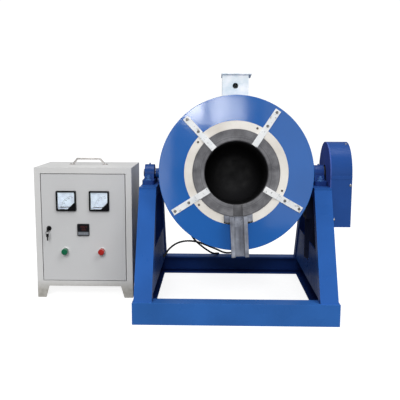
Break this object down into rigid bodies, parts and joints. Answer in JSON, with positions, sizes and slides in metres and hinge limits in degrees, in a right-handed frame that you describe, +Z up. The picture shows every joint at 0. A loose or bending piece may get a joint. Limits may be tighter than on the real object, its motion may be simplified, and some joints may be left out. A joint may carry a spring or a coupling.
{
  "type": "electric tilting melting furnace",
  "caption": "Electric gold melting furnace: blue tilting drum with graphite crucible and pouring spout on a channel stand, geared tilting drive, grey control cabinet.",
  "frame": {"origin": "on the floor, in the middle of the whole set (cabinet, stand and gear guard) from side to side and in the middle of the furnace stand from front to back", "axes": "+X to the right as seen from the front, along the trunnion axis and from the cabinet to the gear guard; +Y to the back; +Z up; the drum's mouth and the cabinet's door face -Y"},
  "size_m": [1.244, 0.868, 0.9008],
  "materials": {
    "stand_paint": "gloss",
    "drum_paint": "gloss",
    "gearbox_paint": "satin",
    "shaft_steel": "satin",
    "gear_iron": "satin",
    "zinc_steel": "satin",
    "strap_steel": "satin",
    "ceramic_fibre": "matte",
    "fire_brick": "matte",
    "white_refractory": "matte",
    "element_alloy": "matte",
    "graphite": "matte",
    "terminal_box_paint": "gloss",
    "black_plastic": "satin",
    "cable_rubber": "matte",
    "cabinet_paint": "satin",
    "handle_steel": "satin",
    "heat_sink_aluminium": "satin",
    "contactor_plastic": "matte",
    "dial_white": "matte",
    "meter_glass": "gloss",
    "needle_black": "satin",
    "controller_plastic": "satin",
    "bezel_chrome": "polished",
    "green_cap": "gloss",
    "red_cap": "gloss",
    "lock_black": "satin",
    "key_steel": "satin"
  },
  "bodies": {
    "stand": {"front_beam": "stand_paint", "rear_beam": "stand_paint", "side_rails": "stand_paint", "front_legs": "stand_paint", "rear_legs": "stand_paint", "bearing_seats": "stand_paint", "left_bearing_housing": "stand_paint", "right_bearing_housing": "stand_paint", "frame_fasteners": "zinc_steel", "guard_back_plate": "stand_paint", "gear_guard_upper": "stand_paint", "gear_guard_lower": "stand_paint", "worm_gearbox": "gearbox_paint", "tilt_motor": "gearbox_paint", "cabinet_body": "cabinet_paint", "mounting_plate": "zinc_steel", "power_regulator": "heat_sink_aluminium", "contactor": "contactor_plastic", "cabinet_handle": "handle_steel", "hinge_pins": "zinc_steel", "supply_gland": "black_plastic", "supply_cable": "cable_rubber", "furnace_lead": "cable_rubber"},
    "drum": {"drum_shell": "drum_paint", "drum_front_plate": "drum_paint", "drum_back_plate": "drum_paint", "drum_insulation": "ceramic_fibre", "furnace_lining": "fire_brick", "heating_element": "element_alloy", "heater_terminals": "element_alloy", "refractory_ring": "white_refractory", "crucible": "graphite", "crucible_pedestal": "fire_brick", "pouring_spout": "graphite", "outer_straps": "strap_steel", "inner_straps": "strap_steel", "strap_screws": "zinc_steel", "terminal_box": "terminal_box_paint", "terminal_box_cover": "terminal_box_paint", "rear_terminal_cover": "drum_paint", "lead_gland": "black_plastic", "left_trunnion": "shaft_steel", "right_trunnion": "shaft_steel", "bearing_inner_rings": "shaft_steel", "drive_gear": "gear_iron"},
    "pinion": {"drive_pinion": "shaft_steel"},
    "door": {"cabinet_door": "cabinet_paint", "meter_cases": "black_plastic", "meter_dials": "dial_white", "meter_windows": "meter_glass", "temperature_controller": "controller_plastic", "button_bezels": "bezel_chrome", "lock_body": "lock_black"},
    "start_button_cap": {"start_button": "green_cap"},
    "stop_button_cap": {"stop_button": "red_cap"},
    "left_needle": {"left_meter_needle": "needle_black"},
    "right_needle": {"right_meter_needle": "needle_black"},
    "lock": {"lock_plug": "lock_black", "lock_key": "key_steel"},
    "hanging_key": {"spare_key": "key_steel"}
  },
  "joints": [
    {"name": "drum_tilt", "type": "hinge", "parent": "stand", "child": "drum", "pos_m": [0.173, 0, 0.505], "axis": [1, 0, 0], "range_deg": [-83.5, 20], "deforming": ["furnace_lead"]},
    {"name": "pinion_spin", "type": "hinge", "parent": "stand", "child": "pinion", "pos_m": [0.565, 0, 0.375], "axis": [1, 0, 0], "range_deg": [-67, 279]},
    {"name": "door_swing", "type": "hinge", "parent": "stand", "child": "door", "pos_m": [-0.267, -0.061, 0.287], "axis": [0, 0, 1], "range_deg": [0, 95]},
    {"name": "start_press", "type": "slide", "parent": "door", "child": "start_button_cap", "axis": [0, 1, 0], "range_m": [0, 0.003], "stiffness_N_per_m": 400, "springref_m": -0.004},
    {"name": "stop_press", "type": "slide", "parent": "door", "child": "stop_button_cap", "axis": [0, 1, 0], "range_m": [0, 0.003], "stiffness_N_per_m": 400, "springref_m": -0.004},
    {"name": "left_needle_swing", "type": "hinge", "parent": "door", "child": "left_needle", "pos_m": [-0.47, -0.071, 0.374], "axis": [0, 1, 0], "range_deg": [0, 90], "stiffness_Nm_per_rad": 0.0004, "springref_deg": -17.19},
    {"name": "right_needle_swing", "type": "hinge", "parent": "door", "child": "right_needle", "pos_m": [-0.338, -0.071, 0.374], "axis": [0, 1, 0], "range_deg": [0, 90], "stiffness_Nm_per_rad": 0.0004, "springref_deg": -17.19},
    {"name": "lock_turn", "type": "hinge", "parent": "door", "child": "lock", "pos_m": [-0.568, -0.067, 0.286], "axis": [0, -1, 0], "range_deg": [0, 90]},
    {"name": "spare_key_swing", "type": "hinge", "parent": "lock", "child": "hanging_key", "pos_m": [-0.568, -0.094, 0.281], "axis": [1, 0, 0], "range_deg": [-25, 25]}
  ],
  "couplings": [
    {"joint": "pinion_spin", "follows": "drum_tilt", "ratio": -3.3333}
  ]
}
